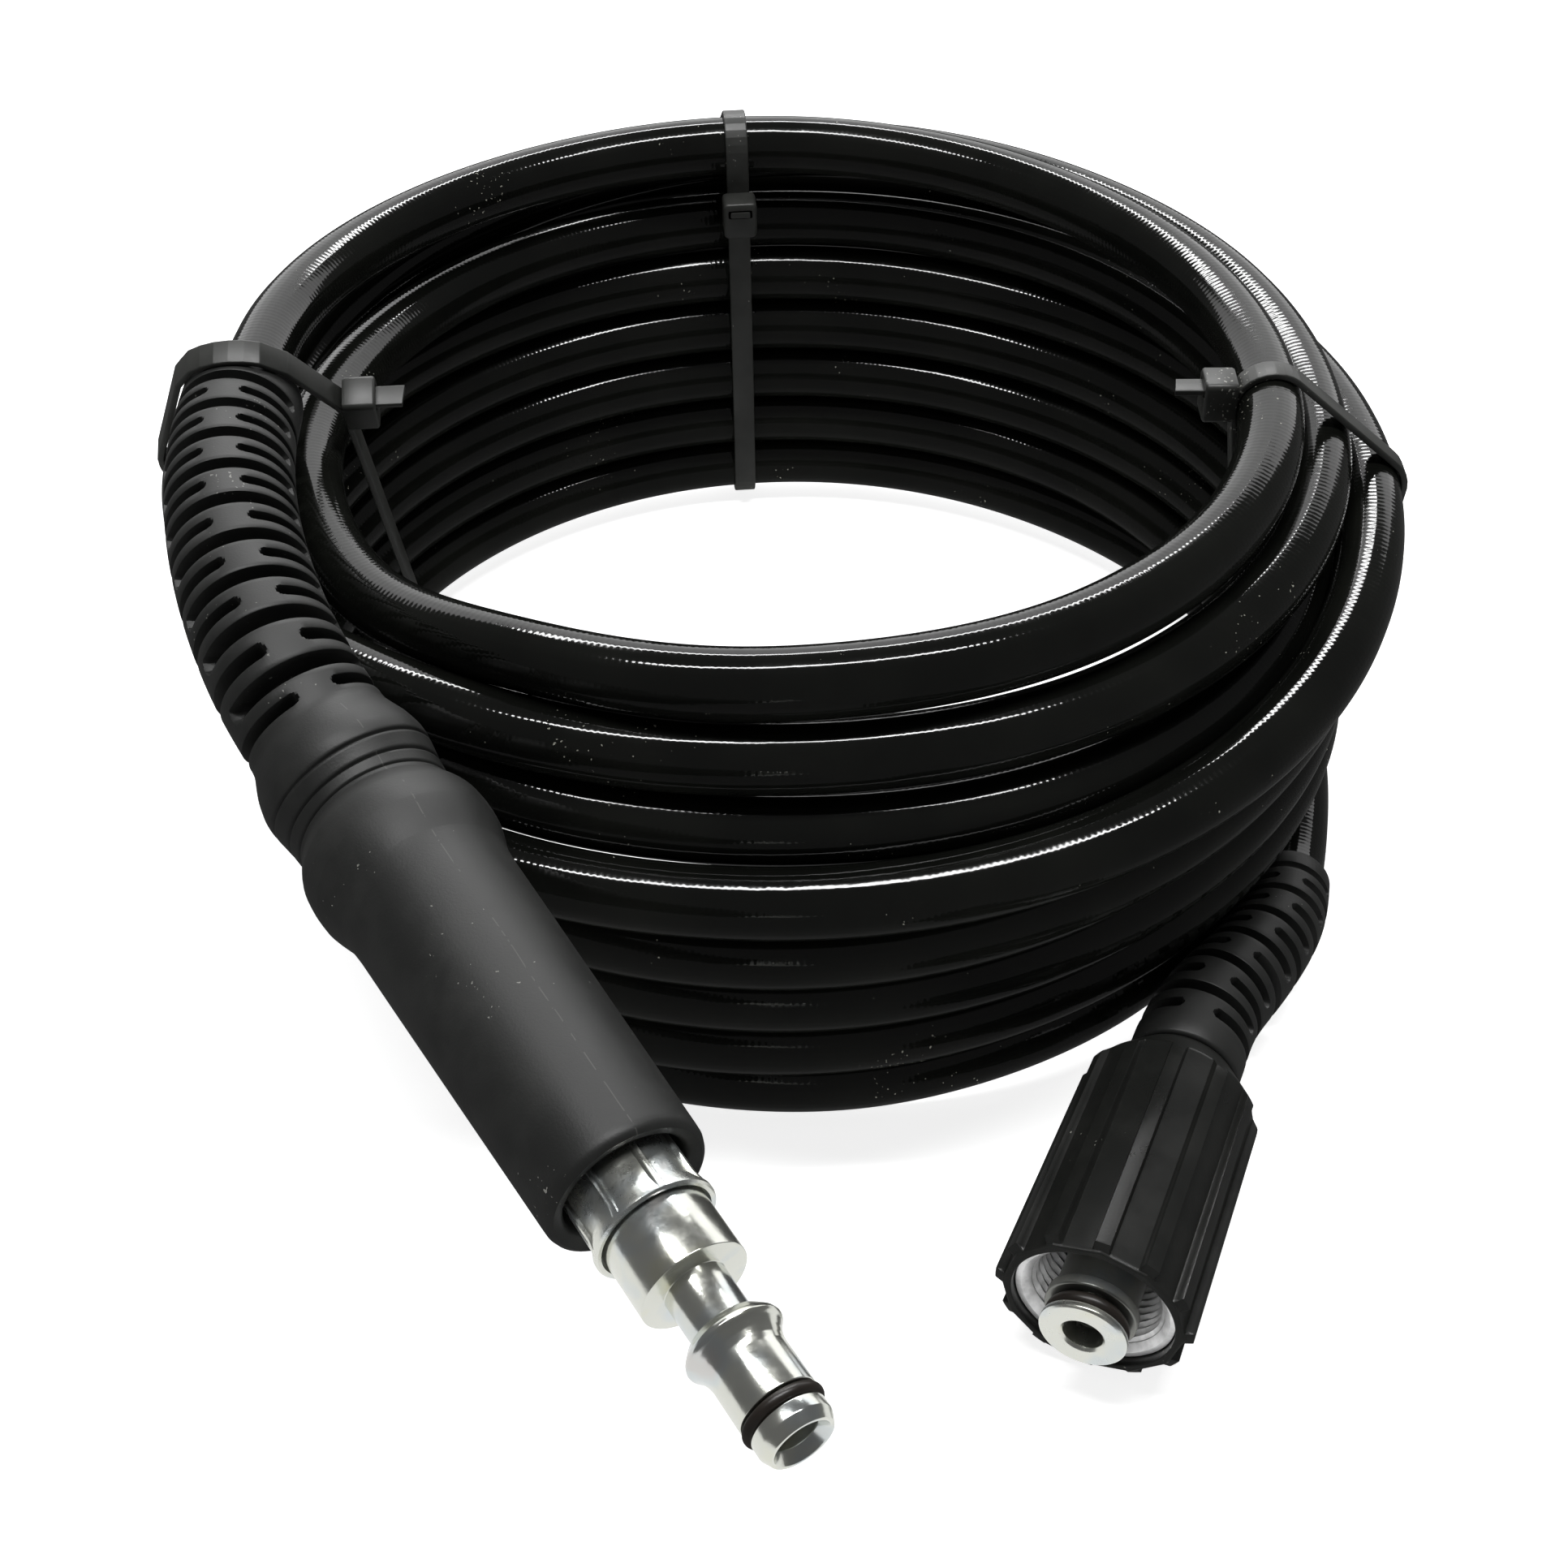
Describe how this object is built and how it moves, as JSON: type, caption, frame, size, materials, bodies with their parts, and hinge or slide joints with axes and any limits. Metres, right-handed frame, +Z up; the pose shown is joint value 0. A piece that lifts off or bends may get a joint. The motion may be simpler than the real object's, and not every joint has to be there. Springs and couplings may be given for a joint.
{
  "type": "pressure washer hose",
  "caption": "Coiled high-pressure washer hose with a slotted grip sleeve and snap-in plug at one end and a ribbed swivel screw coupling at the other, held by cable ties.",
  "frame": {"origin": "on the floor under the middle of the object's box, seen from above", "axes": "+Z up, the coil's axis; -Y to the front, where the plug and the screw coupling point; +X to the right, the coupling's side"},
  "size_m": [0.2316, 0.3286, 0.1053],
  "materials": {
    "hose_black_pvc": "glossy black PVC cover over textile braid",
    "rubber_matte": "matte dark grey moulded rubber",
    "nut_black_plastic": "semi-gloss black moulded plastic",
    "tie_black_nylon": "satin black nylon",
    "zinc_plated_steel": "bright turned steel, thinly zinc plated",
    "thread_zinc": "pale satin cast light metal thread"
  },
  "bodies": {
    "hose": {"hose_coil_stack": "hose_black_pvc", "hose_coil_crown": "hose_black_pvc", "hose_in_sleeve": "hose_black_pvc", "hose_tail": "hose_black_pvc", "grip_sleeve": "rubber_matte", "bend_protector": "rubber_matte", "plug_o_ring": "rubber_matte", "stem_o_ring": "rubber_matte", "plug_ferrule": "zinc_plated_steel", "gun_plug": "zinc_plated_steel", "coupling_stem": "zinc_plated_steel", "cable_tie_back": "tie_black_nylon", "cable_tie_left": "tie_black_nylon", "cable_tie_right": "tie_black_nylon"},
    "coupling_nut": {"coupling_nut": "nut_black_plastic", "nut_thread_insert": "thread_zinc"}
  },
  "joints": [
    {"name": "nut_spin", "type": "hinge", "parent": "hose", "child": "coupling_nut", "pos_m": [0.0479, -0.0881, 0.0162], "axis": [-0.4509, -0.8926, 0], "continuous": true}
  ]
}
